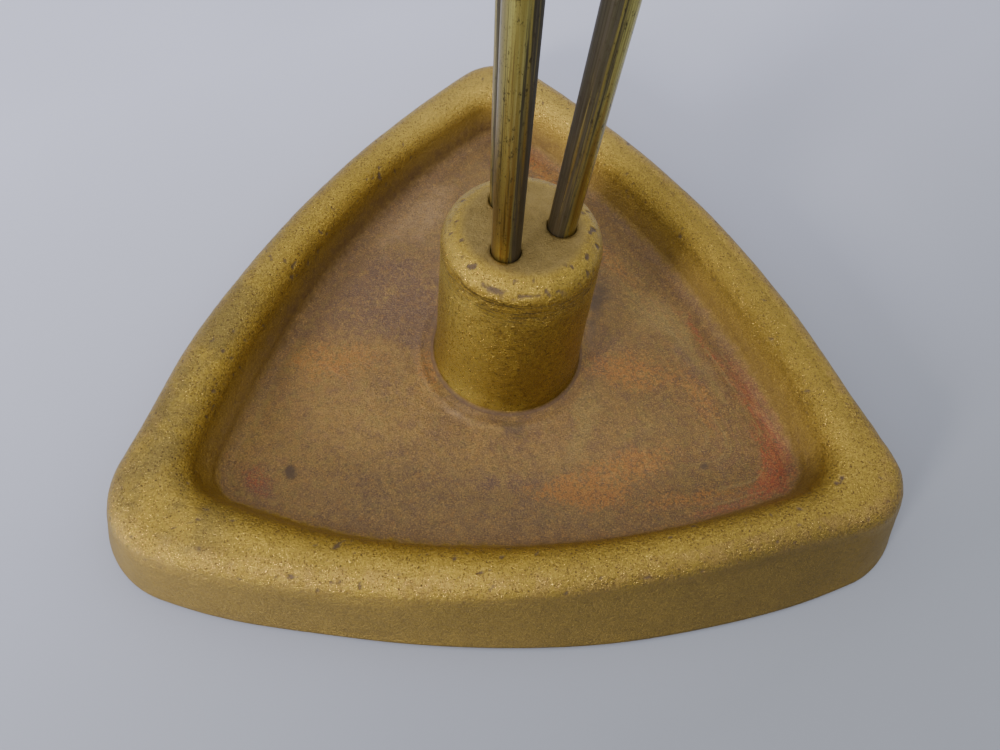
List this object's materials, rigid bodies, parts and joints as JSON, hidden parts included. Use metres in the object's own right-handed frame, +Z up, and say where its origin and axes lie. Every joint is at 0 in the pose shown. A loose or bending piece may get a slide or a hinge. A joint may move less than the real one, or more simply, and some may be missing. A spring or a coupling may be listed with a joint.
{
  "type": "umbrella stand",
  "caption": "Umbrella stand: cast rounded-triangle drip tray with a central boss, leaning brass rods bent into open umbrella loops, turned hub and lifting knob.",
  "frame": {"origin": "on the boss axis, at the underside of the felt the stand rests on", "axes": "+Z up along the boss axis, +Y from the boss to the back corner of the tray, +X towards the right-hand rod"},
  "size_m": [0.2498, 0.2387, 0.61],
  "materials": {
    "bronze_painted_casting": "gold bronze paint on sand-cast iron, pitted on the rim, rusted brown on the floor",
    "aged_brass": "drawn brass rod, tarnished in lengthwise streaks",
    "turned_brass": "turned, dull and lightly tarnished",
    "plain_steel": "plain, dull",
    "dark_steel": "blackened",
    "felt": "pressed felt"
  },
  "bodies": {
    "root": {"cast_base": "bronze_painted_casting", "rod_right": "aged_brass", "rod_back": "aged_brass", "rod_front": "aged_brass", "top_hub": "turned_brass", "knob": "turned_brass", "knob_stud": "plain_steel", "hub_grub_screws": "dark_steel", "rod_nuts": "plain_steel", "rod_washers": "plain_steel", "corner_pads": "felt", "centre_felt": "felt"}
  },
  "joints": []
}
